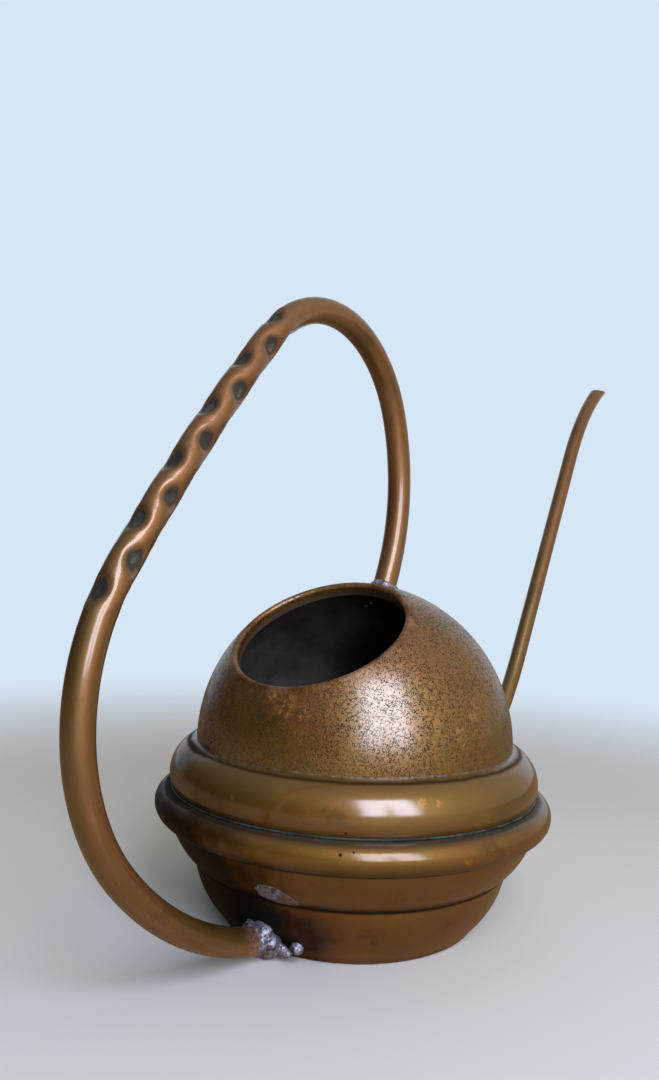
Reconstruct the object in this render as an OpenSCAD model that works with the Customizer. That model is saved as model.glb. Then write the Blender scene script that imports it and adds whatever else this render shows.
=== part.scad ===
// Copper watering can with a ball-shaped top, a bent tube handle and a long thin spout.
// The body stands on z = 0 round the Z axis. The spout runs towards +X, and the handle is on -X.

/* [Body shells] */
// Thickness of the copper sheet
sheet = 1; // [0.8:0.1:1.5]
// Outside radius of the ball-shaped top
dome_r = 76.5; // [62:0.5:92]
// Height of the ball's centre, where the top meets the upper bead
dome_z = 83; // [79:0.5:100]
// Outside radius at the soldered seam between the two shells
seam_r = 87; // [84:0.5:104]
// Height of the soldered seam
seam_z = 61; // [57:0.5:68]
// How far the upper shell's skirt laps down inside the lower shell
seam_lap = 5; // [4:0.5:6]
// How far the upper bead swells out between its two creases
upper_bulge = 6; // [5:0.1:7.2]
// How far the lower bead swells out between its two creases
bead_bulge = 7.8; // [6.5:0.1:9]
// Outside radius of the crease below the lower bead
bead_foot_r = 87.7; // [80:0.1:105]
// Height of the crease below the lower bead
bead_foot_z = 47.3; // [42:0.1:52]
// How far the upper tier swells out
tier_bulge = 2; // [1.7:0.1:2.4]
// Outside radius of the crease between the two tiers
tier_r = 75.3; // [68:0.1:85]
// Height of the crease between the two tiers
tier_z = 27.9; // [24:0.1:33]
// How far the lowest tier swells out
base_bulge = 2.6; // [2.2:0.1:3.1]
// Outside radius at the foot
base_r = 61.5; // [55:0.5:66]
// Radius of the rounded corner round the flat bottom
base_round = 2.2; // [1.9:0.1:2.6]

/* [Mouth] */
// Radius of the filling mouth, at the middle of its rolled edge
mouth_r = 41.6; // [35:0.1:50]
// Angle that the mouth leans towards the handle
mouth_tilt = 31.5; // [27:0.5:37]
// Outside radius of the rolled edge
lip_round = 1.6; // [1.5:0.1:1.9]
// How far the edge is turned down inside
lip_depth = 4.5; // [3.8:0.1:5.4]

/* [Handle] */
// Outside diameter of the handle tube
handle_d = 12; // [10:0.5:14.5]
// Wall of the handle tube
handle_wall = 1; // [0.8:0.1:1.2]
// Gap between the tube's foot and the surface that the can stands on
handle_foot_gap = 1; // [0.8:0.1:1.2]
// How far the tube's foot starts inside the foot radius
handle_foot_in = 5.2; // [4.5:0.1:6]
// Radius of the first bend, at the foot
foot_bend_r = 80.2; // [70:0.1:96]
// Angle of the first bend
foot_bend_angle = 15; // [13:0.5:17]
// Radius of the second bend, out from the body
low_bend_r = 149.8; // [125:0.1:180]
// Angle of the second bend
low_bend_angle = 33.6; // [30:0.1:38]
// Radius of the bend at the back
back_bend_r = 89.9; // [75:0.1:108]
// Angle of the bend at the back
back_bend_angle = 76.2; // [70:0.1:80]
// Radius of the nearly straight grip
grip_bend_r = 900; // [750:10:1100]
// Angle of the grip's bend
grip_bend_angle = 8; // [6.5:0.1:9.6]
// Radius of the top bend
top_bend_r = 63.4; // [53:0.1:76]
// Angle of the top bend
top_bend_angle = 113; // [108:0.1:118]
// Radius of the last bend, down to the body
end_bend_r = 102.3; // [85:0.1:123]
// Angle of the last bend
end_bend_angle = 47.5; // [42:0.1:54]

/* [Spout] */
// Outside diameter of the spout tube
spout_d = 10; // [8.5:0.5:12]
// Wall of the spout tube
spout_wall = 1; // [0.8:0.1:1.2]
// Height of the spout's middle where it enters the body
spout_root_z = 16; // [13.5:0.5:19]
// How far the spout starts inside the foot radius
spout_root_in = 1.5; // [1.3:0.1:3]
// Angle at which the spout leaves the body
spout_root_angle = 5; // [4:0.5:6]
// Radius of the spout's low bend
spout_low_r = 190.6; // [158:0.1:229]
// Angle of the spout's low bend
spout_low_angle = 53.3; // [48:0.1:58]
// Length of the straight stretch
spout_straight = 172.2; // [143:0.1:207]
// Radius of the spout's top bend
spout_top_r = 176; // [146:1:212]
// Angle of the spout's top bend, as far as the middle of the level cut at the tip
spout_top_angle = 28.4; // [24:0.1:34]

/* [Solder] */
// How far solder stands out from a seam or a tube
solder_w = 2.6; // [2.2:0.1:3.1]
// Thickness of the solder scar on the body
scar_t = 0.8; // [0.6:0.1:1]
// Length of the solder scar
scar_l = 17; // [14:0.5:20]
// Width of the solder scar
scar_w = 8; // [7:0.5:9.5]
// Angle round the body of the solder scar, from +X
scar_azimuth = 190; // [186:1:196]
// Clearance between soldered pieces
fit = 0.1; // [0.05:0.05:0.2]

/* [Hidden] */
$fn = 96;
tube_fn = 48;
arc_steps = 14;
ball_steps = 40;
far = 400;
corner_step = 15;
ring_step = 0.5;
tongue_angle = 0.6;
lap = 0.6;
hairline = 0.2;
floor_gap = 0.5;
// The tube runs on past the level cut at its tip by this many diameters
spare = 1.4;
copper = "#6b4226";
dark_copper = "#54331f";
solder_grey = "#8a8b88";

spigot_r = seam_r - sheet - fit;
// Half angle of the mouth, seen from the ball's centre
lip_centre_r = dome_r - lip_round;
lip_angle = asin(mouth_r / lip_centre_r);
scar_gap = 1;
scar_z = tier_z + scar_w / 2 + scar_gap;
scar_tilt = 12;

handle_bends = [[foot_bend_r, foot_bend_angle], [low_bend_r, low_bend_angle], [back_bend_r, back_bend_angle],
                [grip_bend_r, grip_bend_angle], [top_bend_r, top_bend_angle], [end_bend_r, end_bend_angle]];
handle_foot_s = base_r - handle_foot_in;
handle_foot_z = handle_d / 2 + handle_foot_gap;
// Where the last bend ends, and the straight run from there to the ball
handle_end = chain_end([handle_foot_s, handle_foot_z], 0, handle_bends);
end_run = reach_ball([handle_end[0], handle_end[1]], handle_end[2]);
handle_run = concat(handle_bends, [[0, end_run]]);
handle_length = total_length(handle_run);
// Where the ring of solder sits on the handle's foot, and the blobs beside it
foot_ring_run = handle_foot_in + 5;
foot_blob_out = 4.5;
foot_blob_r = 5;
foot_blob_rise = 2;
foot_blob_azimuths = [186, 192];
// Where the handle's middle goes into the ball
handle_top_run = out_of_ball(handle_length - ring_step / 2);
spout_start = [base_r - spout_root_in, spout_root_z];
spout_bends = [[spout_low_r, spout_low_angle], [0, spout_straight], [-spout_top_r, spout_top_angle]];
spout_tip_z = chain_end(spout_start, spout_root_angle, spout_bends)[1];
spare_angle = spare * spout_d / spout_top_r * 180 / PI;
spout_run = [spout_bends[0], spout_bends[1], [-spout_top_r, spout_top_angle + spare_angle]];
// Where the spout's middle passes through the sheet of the lowest tier
spout_wall_run = spout_root_in + (tier_r - base_r) * spout_root_z / tier_z + base_bulge;

// Length of one stretch: [radius, angle] is a bend, left if positive, and [0, length] is straight
function bend_length(b) = b[0] == 0 ? b[1] : abs(b[0]) * b[1] * PI / 180;

function total_length(stretches, i = 0) =
    i == len(stretches) ? 0 : bend_length(stretches[i]) + total_length(stretches, i + 1);

// Where a row of tangent stretches ends: [x, y, heading]
function chain_end(p, heading, stretches, i = 0) =
    i == len(stretches) ? [p[0], p[1], heading]
    : let (r = stretches[i][0], a = heading + sign(r) * stretches[i][1])
      r == 0
      ? chain_end(p + stretches[i][1] * [cos(heading), sin(heading)], heading, stretches, i + 1)
      : chain_end(p + r * [sin(a) - sin(heading), cos(heading) - cos(a)], a, stretches, i + 1);

// Distance along a heading from a point to just under the ball's surface
function reach_ball(p, heading) =
    let (q = p - [0, dome_z], d = [cos(heading), sin(heading)], b = q * d, c = q * q - dome_r * dome_r)
    c < 0 ? 1 : -b - sqrt(max(b * b - c, 0)) + handle_d / 2;

// The first part of a row of stretches, as far as a given length
function cut_to(stretches, run, i = 0) =
    let (b = stretches[i], length = bend_length(b))
    i == len(stretches) - 1 || run <= length
    ? [b[0] == 0 ? [0, run] : [b[0], run / abs(b[0]) * 180 / PI]]
    : concat([b], cut_to(stretches, run - length, i + 1));

// The last place before a given length of the handle where its middle is outside the ball
function out_of_ball(run) =
    let (p = chain_end([handle_foot_s, handle_foot_z], 0, cut_to(handle_run, run)))
    run < ring_step || norm([p[0], p[1] - dome_z]) > dome_r ? run : out_of_ball(run - ring_step);

// An arc from a lower point a to an upper point b that swells outwards by sag, moved inwards by inset
function arc(a, b, sag, inset = 0) =
    let (chord = norm(b - a), half = 2 * atan(2 * sag / chord), r = chord / (2 * sin(half)),
         out = atan2(a[0] - b[0], b[1] - a[1]), c = (a + b) / 2 + (sag - r) * [cos(out), sin(out)])
    [for (i = [0:arc_steps]) let (t = out - half + 2 * half * i / arc_steps) c + (r - inset) * [cos(t), sin(t)]];

function reversed(list) = [for (i = [len(list) - 1:-1:0]) list[i]];

function without_first(list) = [for (i = [1:len(list) - 1]) list[i]];

// The foot's rounded corner, the two tiers and the lower bead, from the bottom up
function foot_arc(inset = 0) = let (c = [base_r - base_round, base_round])
    [for (t = [-90:corner_step:-corner_step]) c + (base_round - inset) * [cos(t), sin(t)]];
function lowest_tier(inset = 0) = arc([base_r, base_round], [tier_r, tier_z], base_bulge, inset);
function upper_tier(inset = 0) = arc([tier_r, tier_z], [bead_foot_r, bead_foot_z], tier_bulge, inset);
function lower_bead(inset = 0) = arc([bead_foot_r, bead_foot_z], [seam_r, seam_z], bead_bulge, inset);
function upper_bead(inset = 0) = arc([seam_r, seam_z], [dome_r, dome_z], upper_bulge, inset);

// The body's outside below the ball, moved outwards by grow
function body_outline(grow = 0) =
    let (side = concat(foot_arc(), lowest_tier(), without_first(upper_tier()),
                       without_first(lower_bead()), without_first(upper_bead())))
    concat([[0, 0]], [for (p = side) p + [grow, 0]], [[0, dome_z]]);

// The whole body as a solid, used to cut whatever is soldered to it
module body_solid(grow = 0) {
    rotate_extrude() polygon(body_outline(grow));
    translate([0, 0, dome_z]) sphere(r = dome_r + grow);
}

// The axes of the mouth: its origin is the ball's centre, and +Z goes out through the mouth
module mouth_frame() {
    translate([0, 0, dome_z]) rotate([0, -mouth_tilt, 0]) children();
}

// The half planes that hold the handle and the spout: x runs outwards and y runs up
module handle_plane() {
    rotate([90, 0, 180]) children();
}
module spout_plane() {
    rotate([90, 0, 0]) children();
}

// Places its children a given length along a row of stretches, with +X along the tube
module along(stretches, run, i = 0) {
    r = stretches[i][0];
    length = bend_length(stretches[i]);
    here = min(run, length);
    beyond = run > length && i < len(stretches) - 1;
    if (r == 0)
        translate([here, 0, 0])
            if (beyond) along(stretches, run - length, i + 1) children();
            else children();
    else
        translate([0, r, 0]) rotate([0, 0, here / r * 180 / PI]) translate([0, -r, 0])
            if (beyond) along(stretches, run - length, i + 1) children();
            else children();
}

// One stretch of tube along +X from the origin, solid if it has no wall
module stretch(b, d, wall = 0) {
    if (b[0] == 0)
        rotate([0, 90, 0]) linear_extrude(height = b[1]) ring(d, wall);
    else if (b[0] < 0)
        mirror([0, 1, 0]) stretch([-b[0], b[1]], d, wall);
    else
        translate([0, b[0], 0]) rotate([0, 0, -90]) rotate_extrude(angle = b[1], $fn = 4 * tube_fn)
            translate([b[0], 0]) ring(d, wall);
}

// The section of a tube
module ring(d, wall) {
    difference() {
        circle(d = d, $fn = tube_fn);
        if (wall > 0) circle(d = d - 2 * wall, $fn = tube_fn);
    }
}

// A row of stretches, one after the other, with a hairline ring that laps each join to make them one piece
module bent_tube(stretches, d, wall = 0, i = 0) {
    stretch(stretches[i], d, wall);
    if (i < len(stretches) - 1)
        along([stretches[i]], bend_length(stretches[i])) {
            translate([-lap / 2, 0, 0]) stretch([0, lap], d + hairline, wall + hairline);
            bent_tube(stretches, d, wall, i + 1);
        }
}

// Places its children a given length along the handle
module handle_at(run = 0) {
    handle_plane() translate([handle_foot_s, handle_foot_z, 0]) along(handle_run, run) children();
}

// Places its children a given length along the spout
module spout_at(run = 0) {
    spout_plane() translate([spout_start[0], spout_start[1], 0]) rotate([0, 0, spout_root_angle])
        along(spout_run, run) children();
}

// The ball's profile from its widest to its top, moved inwards by inset
function ball(inset = 0) =
    [for (i = [0:ball_steps]) let (t = 90 * i / ball_steps) [0, dome_z] + (dome_r - inset) * [cos(t), sin(t)]];

// The mouth's rolled edge, turned down inside, with a tongue that laps into the ball's sheet
module lip() {
    c = lip_centre_r * [sin(lip_angle), cos(lip_angle)];
    roll = [for (i = [0:arc_steps]) let (t = lip_angle - (lip_angle + 90) * i / arc_steps) [sin(t), cos(t)]];
    tongue = [for (r = [dome_r - sheet + hairline, dome_r - hairline])
        r * [sin(lip_angle + tongue_angle), cos(lip_angle + tongue_angle)]];
    rotate_extrude() polygon(concat(
        tongue, [(dome_r - hairline) * [sin(lip_angle), cos(lip_angle)]],
        [for (p = roll) c + lip_round * p],
        [c + [-lip_round, -lip_depth], c + [sheet - lip_round, -lip_depth]],
        reversed([for (p = roll) c + (lip_round - sheet) * p]),
        [(dome_r - sheet + hairline) * [sin(lip_angle), cos(lip_angle)]]));
}

module upper_shell() color(copper) {
    mouth_frame() lip();
    difference() {
        rotate_extrude() polygon(concat(
            upper_bead(), without_first(ball()), reversed(ball(sheet)),
            reversed(without_first(upper_bead(sheet))),
            [[spigot_r - sheet, seam_z + sheet], [spigot_r - sheet, seam_z - seam_lap],
             [spigot_r, seam_z - seam_lap], [spigot_r, seam_z]]));
        mouth_frame() cylinder(r1 = 0, r2 = 2 * dome_r * tan(lip_angle), h = 2 * dome_r);
    }
}

module lower_shell() color(copper)
    difference() {
        rotate_extrude() polygon(concat(
            [[0, 0]], foot_arc(), lowest_tier(), without_first(upper_tier()), without_first(lower_bead()),
            [[seam_r - sheet, seam_z]], reversed(lower_bead(sheet)),
            [[bead_foot_r - sheet, bead_foot_z]], reversed(upper_tier(sheet)),
            [[tier_r - sheet, tier_z]], reversed(lowest_tier(sheet)), reversed(foot_arc(sheet)),
            [[0, sheet]]));
        spout_at() bent_tube([spout_bends[0]], spout_d + 2 * fit);
    }

module seam_solder() color(solder_grey)
    rotate_extrude() difference() {
        polygon([for (t = [0:60:300]) [seam_r, seam_z] + solder_w / 2 * [cos(t), sin(t)]]);
        for (up = [0, fit / 2]) translate([0, up]) polygon(body_outline(fit / 2));
    }

module handle_tube() color(copper)
    difference() {
        handle_at() bent_tube(handle_run, handle_d, handle_wall);
        body_solid(fit);
    }

module spout_tube() color(dark_copper)
    difference() {
        spout_at() bent_tube(spout_run, spout_d, spout_wall);
        translate([0, -far, spout_tip_z]) cube([2 * far, 2 * far, far]);
    }

// A ring of solder round a tube of diameter d that runs along +X
module solder_ring(d) {
    rotate([0, 90, 0]) rotate_extrude() translate([d / 2, 0]) circle(r = solder_w, $fn = 24);
}

// Clears the way for a tube of diameter d that runs along +X
module tube_way(d) {
    translate([-4 * d, 0, 0]) rotate([0, 90, 0]) cylinder(d = d + 4 * fit, h = 8 * d);
}

module handle_foot_solder() color(solder_grey)
    difference() {
        union() {
            handle_at(foot_ring_run) solder_ring(handle_d);
            for (a = foot_blob_azimuths)
                rotate([0, 0, a]) translate([base_r + foot_blob_out, 0, handle_foot_z + foot_blob_rise])
                    sphere(r = foot_blob_r, $fn = 32);
        }
        body_solid(fit);
        handle_at(foot_ring_run) tube_way(handle_d);
        translate([0, 0, -far]) cylinder(r = base_r + fit, h = far + base_round);
        translate([0, 0, -far]) cylinder(r = far, h = far + floor_gap);
    }

module handle_top_solder() color(solder_grey)
    difference() {
        handle_at(handle_top_run) solder_ring(handle_d);
        body_solid(fit);
        handle_at(handle_top_run) tube_way(handle_d);
    }

module spout_root_solder() color(solder_grey)
    difference() {
        spout_at(spout_wall_run) solder_ring(spout_d);
        body_solid(fit);
        spout_at(spout_wall_run) tube_way(spout_d);
    }

module solder_scar() color(solder_grey)
    intersection() {
        difference() {
            body_solid(scar_t);
            body_solid(fit / 2);
        }
        rotate([0, 0, scar_azimuth]) translate([0, 0, scar_z]) rotate([0, 90, 0]) rotate([0, 0, 90 - scar_tilt])
            linear_extrude(height = far) {
                for (side = [-1, 1]) translate([side * (scar_l - scar_w) / 2, 0]) circle(d = scar_w, $fn = 32);
                square([scar_l - scar_w, scar_w], center = true);
            }
    }

upper_shell();
lower_shell();
seam_solder();
handle_tube();
spout_tube();
handle_foot_solder();
handle_top_solder();
spout_root_solder();
solder_scar();
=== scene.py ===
# %% [markdown]
# # A copper watering can
# The can is made of two spun copper shells, two bent tubes and some soft solder. It is old: the copper
# has gone brown and olive, the creases hold verdigris, and the handle's foot was soldered on by hand and
# has left soot, lumps and a scar. This notebook builds what the eye sees, round a fixed frame that holds
# the real sizes. Lengths are in metres, and the frame's own axes are used all through: the can stands on
# z = 0 round the Z axis, with its spout towards +X and its handle on -X.

# %% Load the frame
import math
import bmesh
import bpy
import numpy as np
from mathutils import Matrix, Vector, noise


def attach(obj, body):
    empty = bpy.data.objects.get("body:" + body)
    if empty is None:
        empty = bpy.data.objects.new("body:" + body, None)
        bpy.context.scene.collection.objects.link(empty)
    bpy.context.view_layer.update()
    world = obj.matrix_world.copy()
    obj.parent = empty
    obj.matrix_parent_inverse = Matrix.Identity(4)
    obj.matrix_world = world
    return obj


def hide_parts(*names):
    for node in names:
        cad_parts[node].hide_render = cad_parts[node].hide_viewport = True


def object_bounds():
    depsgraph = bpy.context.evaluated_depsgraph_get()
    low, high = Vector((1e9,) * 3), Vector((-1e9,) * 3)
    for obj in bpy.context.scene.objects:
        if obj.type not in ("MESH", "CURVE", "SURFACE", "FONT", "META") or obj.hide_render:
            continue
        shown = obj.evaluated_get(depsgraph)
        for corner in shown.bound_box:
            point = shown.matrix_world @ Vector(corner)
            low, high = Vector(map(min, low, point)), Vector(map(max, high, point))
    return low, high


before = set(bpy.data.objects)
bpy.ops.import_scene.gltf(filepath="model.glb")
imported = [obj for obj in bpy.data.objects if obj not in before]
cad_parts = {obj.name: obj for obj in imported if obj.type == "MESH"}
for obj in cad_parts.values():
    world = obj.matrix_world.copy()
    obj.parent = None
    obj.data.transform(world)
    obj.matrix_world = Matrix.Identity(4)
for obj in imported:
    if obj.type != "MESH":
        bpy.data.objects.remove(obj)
cad_box = [list(corner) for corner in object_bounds()]
MM = 0.001
print("the can's box", cad_box)

# %% [markdown]
# ## Sizes
# A spun shell is known by its creases, the sharp inward lines where one swelling meets the next. Between
# two creases the copper swells out in an arc, and the arc is given by how far it stands out from the
# straight line. These are the same few numbers that the frame was drawn with, so the looks land on it.

# %% Creases of the body, as (radius, height), and how far each stretch swells
SHEET = 1.0 * MM
SEAM = (87.0 * MM, 61.0 * MM)
BEAD_FOOT = (87.7 * MM, 47.3 * MM)
TIER = (75.3 * MM, 27.9 * MM)
FOOT_R, FOOT_ROUND = 61.5 * MM, 2.2 * MM
BALL_R, BALL_Z = 76.5 * MM, 83.0 * MM
UPPER_BULGE, BEAD_BULGE, TIER_BULGE, BASE_BULGE = 6.0 * MM, 7.8 * MM, 2.0 * MM, 2.6 * MM
SKIRT_R, SKIRT_LAP = SEAM[0] - SHEET - 0.1 * MM, 5.0 * MM
MOUTH_R, MOUTH_TILT = 41.6 * MM, math.radians(31.5)
LIP_ROUND, LIP_DEPTH = 1.6 * MM, 4.5 * MM
ROUND = 256  # quads round the body


def arc(low, high, sag, inset=0.0, steps=24):
    """Points from low to high on an arc that swells outwards by sag, moved inwards by inset."""
    low, high = np.array(low), np.array(high)
    chord = np.linalg.norm(high - low)
    half = 2 * math.atan(2 * sag / chord)
    radius = chord / (2 * math.sin(half))
    out = math.atan2(low[0] - high[0], high[1] - low[1])
    centre = (low + high) / 2 + (sag - radius) * np.array([math.cos(out), math.sin(out)])
    turn = np.linspace(out - half, out + half, steps + 1)
    return centre + (radius - inset) * np.stack([np.cos(turn), np.sin(turn)], axis=1)


def foot_corner(inset=0.0):
    """The rounded corner between the flat bottom and the lowest tier."""
    turn = np.radians(np.linspace(-90, -15, 7))
    centre = np.array([FOOT_R - FOOT_ROUND, FOOT_ROUND])
    return centre + (FOOT_ROUND - inset) * np.stack([np.cos(turn), np.sin(turn)], axis=1)


def lower_side(inset=0.0):
    """The foot, the two tiers and the lower bead, from the bottom up."""
    return [foot_corner(inset), arc((FOOT_R, FOOT_ROUND), TIER, BASE_BULGE, inset, 28)[1:],
            arc(TIER, BEAD_FOOT, TIER_BULGE, inset)[1:], arc(BEAD_FOOT, SEAM, BEAD_BULGE, inset, 32)[1:]]


side = np.vstack(lower_side() + [arc(SEAM, (BALL_R, BALL_Z), UPPER_BULGE)[1:]])
order = np.argsort(side[:, 1])
side_z, side_r = side[order, 1], side[order, 0]


def body_reach(height):
    """The body's outside radius at a height."""
    if height < BALL_Z:
        return float(np.interp(height, side_z, side_r))
    return math.sqrt(max(BALL_R ** 2 - (height - BALL_Z) ** 2, 0.0))


def round_axis(turn, reach, z):
    """The point at an angle round the Z axis, in radians, at a distance from it and a height."""
    return (reach * math.cos(turn), reach * math.sin(turn), z)


print("widest", round(float(side_r.max()) / MM, 1), "mm")

# %% [markdown]
# ## A small language for node trees
# Blender's node trees are drawn with a mouse, and a long one is hard to read as code. One small class
# wraps a socket, so that `1 - mask * 0.5` adds its own Math nodes. One method adds any other node: it
# takes the node's type, its settings and what goes into its sockets. The same two classes serve shaders
# and Geometry Nodes.

# %% A wire
class Wire:
    """One output socket, which can take part in arithmetic."""

    def __init__(self, graph, socket):
        self.graph, self.socket = graph, socket

    def _math(self, operation, *values):
        return self.graph.add("ShaderNodeMath", {"operation": operation}, dict(enumerate(values)))

    def __add__(self, other): return self._math("ADD", self, other)
    def __sub__(self, other): return self._math("SUBTRACT", self, other)
    def __mul__(self, other): return self._math("MULTIPLY", self, other)
    def __truediv__(self, other): return self._math("DIVIDE", self, other)
    def __radd__(self, other): return self._math("ADD", other, self)
    def __rsub__(self, other): return self._math("SUBTRACT", other, self)
    def __rmul__(self, other): return self._math("MULTIPLY", other, self)
    def __mod__(self, other): return self._math("FLOORED_MODULO", self, other)
    def __pow__(self, other): return self._math("POWER", self, other)
    def __abs__(self): return self._math("ABSOLUTE", self)
    def at_least(self, other): return self._math("MAXIMUM", self, other)
    def at_most(self, other): return self._math("MINIMUM", self, other)
    def above(self, other): return self._math("GREATER_THAN", self, other)
    def call(self, operation): return self._math(operation, self)

    def rise(self, low, high):
        """0 below low, 1 above high, and a smooth step between them."""
        return self.graph.add("ShaderNodeMapRange", {"interpolation_type": "SMOOTHSTEP"},
                              {"Value": self, "From Min": low, "From Max": high})

    def fall(self, low, high):
        """1 below low, 0 above high, and a smooth step between them."""
        return 1 - self.rise(low, high)


print("helper", Wire.__name__)


# %% A graph
class Graph:
    """A node tree to which nodes are added by type."""

    def __init__(self, tree):
        self.tree = tree

    def add(self, kind, settings=None, values=None, out=0):
        """A node of a type, with its settings first, then what goes into its sockets."""
        node = self.tree.nodes.new(kind)
        for name, value in (settings or {}).items():
            setattr(node, name, value)
        for key, value in (values or {}).items():
            self.feed(node.inputs[key], value)
        return Wire(self, node.outputs[out])

    def feed(self, socket, value):
        """Link a wire to a socket, or set the socket to a plain value."""
        if isinstance(value, Wire):
            self.tree.links.new(value.socket, socket)
        else:
            socket.default_value = value

    def mix(self, mask, a, b):
        """Colour a where the mask is 0 and colour b where it is 1."""
        a, b = (c if isinstance(c, Wire) else (*c, 1.0) for c in (a, b))
        return self.add("ShaderNodeMix", {"data_type": "RGBA"}, {0: mask, 6: a, 7: b}, out=2)

    def layered(self, colour, layers):
        """Lay colours over a first one in order, each through its own mask."""
        for mask, over in layers:
            colour = self.mix(mask, colour, over)
        return colour

    def combine(self, x, y, z):
        """A vector from three numbers."""
        return self.add("ShaderNodeCombineXYZ", None, {0: x, 1: y, 2: z})

    def vector(self, operation, *values):
        """Vector arithmetic, by the operation's name."""
        return self.add("ShaderNodeVectorMath", {"operation": operation}, dict(enumerate(values)))

    def dot(self, a, b):
        """The dot product, a number."""
        return self.add("ShaderNodeVectorMath", {"operation": "DOT_PRODUCT"}, {0: a, 1: b}, out="Value")

    def scale(self, vector, amount):
        """A vector made longer or shorter by an amount."""
        return self.add("ShaderNodeVectorMath", {"operation": "SCALE"}, {0: vector, "Scale": amount})

    def finish_with(self, wire):
        """Send a wire to the tree's output."""
        self.tree.links.new(wire.socket, self.tree.nodes.new("NodeGroupOutput").inputs[0])


print("helper", Graph.__name__)


# %% [markdown]
# ## The camera
# The can is seen from its handle's side, a little above the mouth. The camera stands where a person held
# it: nearly level, with a slight lean. Working out the three directions of the camera by hand keeps the
# lean a number that can be read.

# %% Camera
CAMERA_DISTANCE, CAMERA_HEIGHT = 443.2 * MM, 176.6 * MM
CAMERA_AZIMUTH = math.radians(212)
AIM_LEFT, AIM_UP, LEAN = math.radians(2.05), math.radians(0.42), math.radians(2.23)
SENSOR, LENS = 36, 30.0  # in millimetres, as cameras are described

eye = Vector(round_axis(CAMERA_AZIMUTH, CAMERA_DISTANCE, CAMERA_HEIGHT))
heading = CAMERA_AZIMUTH + math.pi + AIM_LEFT
ahead = Vector((math.cos(heading) * math.cos(AIM_UP), math.sin(heading) * math.cos(AIM_UP), math.sin(AIM_UP)))
level_right = Vector((math.sin(heading), -math.cos(heading), 0))
level_up = level_right.cross(ahead)
right = level_right * math.cos(LEAN) + level_up * math.sin(LEAN)
up = level_up * math.cos(LEAN) - level_right * math.sin(LEAN)
camera_data = bpy.data.cameras.new("camera")
camera_data.sensor_width, camera_data.lens = SENSOR, LENS
camera = bpy.data.objects.new("camera", camera_data)
camera.matrix_world = Matrix.Translation(eye) @ Matrix((right, up, -ahead)).transposed().to_4x4()
bpy.context.scene.collection.objects.link(camera)
bpy.context.scene.camera = camera
print("the camera is at", [round(c, 3) for c in eye])

# %% [markdown]
# ## Copper that has aged
# Polished copper is a metal with a clear pink-orange colour. Years of air turn it brown, and handling
# leaves olive and gold tones. The brown skin is thin and glossy, so window light comes back white and not
# orange. A metal under a light clear coat gives both: the coat's white glints and pale rims, and the warm
# brown below. Every pattern reads Object coordinates, which are the frame's own metres.

# %% A new finish, and noise
def new_finish(name):
    """A material with an empty tree, its shader, and its Object coordinates."""
    material = bpy.data.materials.new(name)
    material.use_nodes = True
    graph = Graph(material.node_tree)
    graph.tree.nodes.clear()
    shader = graph.tree.nodes.new("ShaderNodeBsdfPrincipled")
    output = graph.tree.nodes.new("ShaderNodeOutputMaterial")
    graph.tree.links.new(shader.outputs[0], output.inputs["Surface"])
    place = graph.add("ShaderNodeTexCoord", out="Object")
    return material, graph, shader.inputs, place


def grain(graph, place, size, detail=3.0, rough=0.5, seed=0.0, bend=0.0):
    """Noise from 0 to 1 whose lumps are about size metres across."""
    return graph.add("ShaderNodeTexNoise", {"noise_dimensions": "4D"},
                     {"Vector": place, "W": seed, "Scale": 0.5 / size, "Detail": detail,
                      "Roughness": rough, "Distortion": bend})


def stretched(graph, place, x, y, z):
    """The same place with each axis scaled, so that a pattern is drawn out along one of them."""
    return graph.vector("MULTIPLY", place, (x, y, z))


def axes_of(graph, place):
    """The x, y and z of a place as numbers."""
    return [graph.add("ShaderNodeSeparateXYZ", None, {0: place}, out=k) for k in range(3)]


print("helpers", new_finish.__name__, grain.__name__)


# %% Spots, lines and bumps
def spot(graph, place, centre, size, soft, ragged=None):
    """1 inside a ragged patch round a point, and 0 outside it."""
    away = graph.add("ShaderNodeVectorMath", {"operation": "DISTANCE"}, {0: place, 1: centre}, out="Value")
    if ragged is not None:
        away = away + (ragged - 0.5) * (2 * size)
    return away.fall(size - soft, size + soft)


def line(height, level, width):
    """1 on a level line round the can, fading out over the width."""
    return abs(height - level).fall(0.0, width)


def bump(graph, inputs, height, strength, distance):
    """A height in the finish that only bends the light."""
    raised = graph.add("ShaderNodeBump", None, {"Strength": strength, "Distance": distance, "Height": height})
    graph.feed(inputs["Normal"], raised)


print("helpers", spot.__name__, line.__name__, bump.__name__)


# %% Marks on the body
def on_body(azimuth, height):
    """The point on the body's outside at an angle round it, in degrees, and a height in millimetres."""
    return round_axis(math.radians(azimuth), body_reach(height * MM), height * MM)


def widest_of(masks):
    """The largest of several masks."""
    result = masks[0]
    for mask in masks[1:]:
        result = result.at_least(mask)
    return result


def marks(graph, place, rows, ragged=None):
    """1 inside any of several spots on the body, and 0 outside them. A row gives a spot's angle in
    degrees, then its height, its size and the softness of its edge in millimetres."""
    return widest_of([spot(graph, place, on_body(azimuth, height), size * MM, soft * MM, ragged)
                      for azimuth, height, size, soft in rows])


def past_mouth(graph, place):
    """How far a place is along the mouth's axis from the ball's centre."""
    return graph.dot(graph.vector("SUBTRACT", place, (0.0, 0.0, BALL_Z)), MOUTH_AXIS)


MOUTH_AXIS = (-math.sin(MOUTH_TILT), 0.0, math.cos(MOUTH_TILT))
LIP_LEVEL = math.sqrt((BALL_R - LIP_ROUND) ** 2 - MOUTH_R ** 2)  # where the rolled edge begins
print("the mouth's rolled edge begins", round(LIP_LEVEL / MM, 1), "mm from the ball's centre")

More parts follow.
